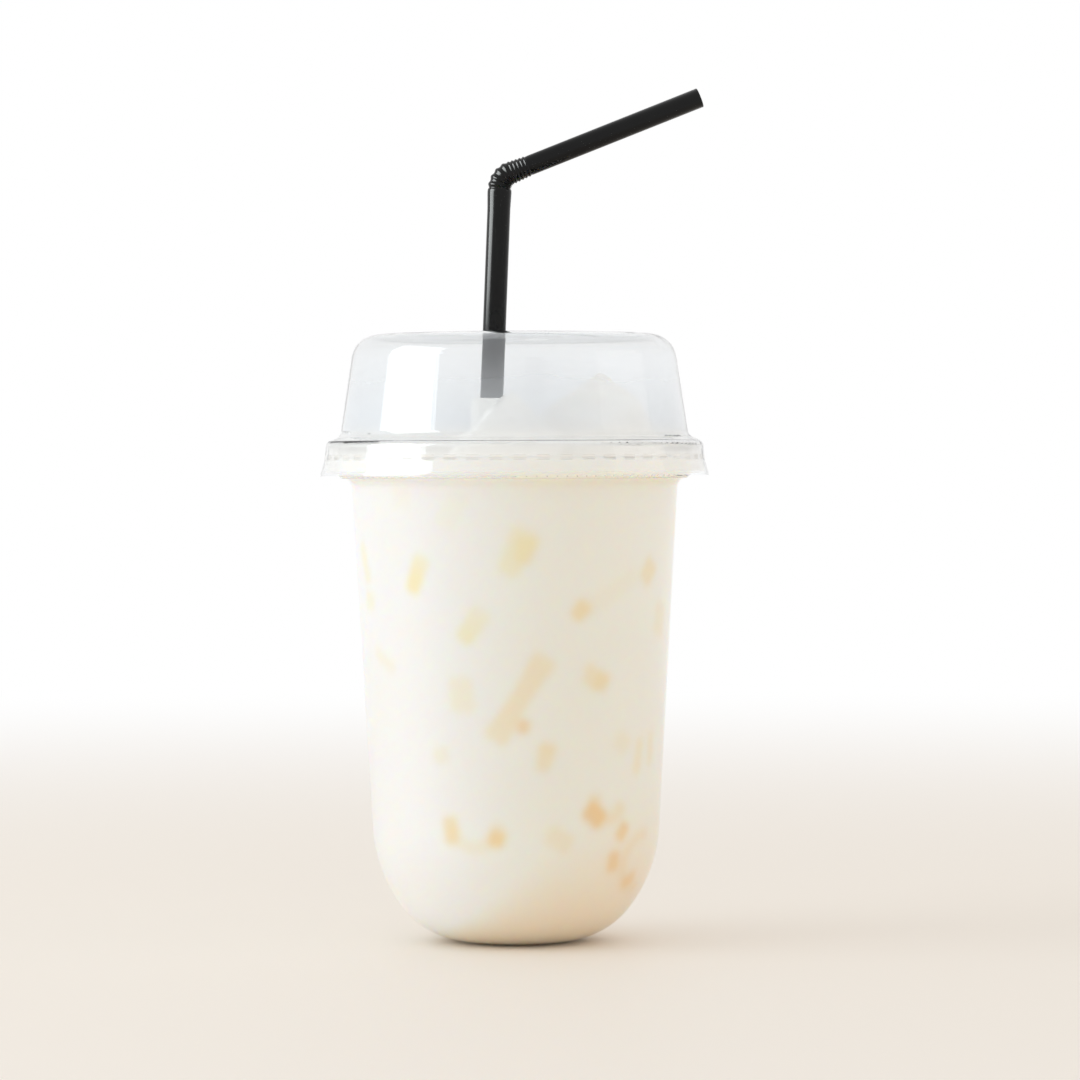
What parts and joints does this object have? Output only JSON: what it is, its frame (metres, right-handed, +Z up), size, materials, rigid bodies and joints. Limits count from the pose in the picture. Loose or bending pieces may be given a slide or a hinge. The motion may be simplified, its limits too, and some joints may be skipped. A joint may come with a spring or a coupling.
{
  "type": "iced milk drink in lidded plastic cup",
  "caption": "Clear round-bottomed plastic cup with a tall flat-topped press-on lid and a black bendy straw, filled with a white milk drink with soft amber jelly pieces and ice.",
  "frame": {"origin": "centre of the cup's base, on the surface that the cup stands on", "axes": "+Z up along the cup's axis, +X to the right, towards the straw's spout, front of the cup to -Y"},
  "size_m": [0.0944, 0.0942, 0.2068],
  "materials": {
    "cup": "clear glossy PET plastic",
    "lid": "clear glossy PET plastic, slightly hazy",
    "straw": "black polypropylene, semi-gloss",
    "milk": "opaque warm-white milk drink",
    "ice_front": "cloudy wet ice",
    "ice_right": "cloudy wet ice"
  },
  "bodies": {
    "root": {"cup": "cup", "lid": "lid", "straw": "straw", "milk": "milk", "ice_front": "ice_front", "ice_right": "ice_right"}
  },
  "joints": []
}
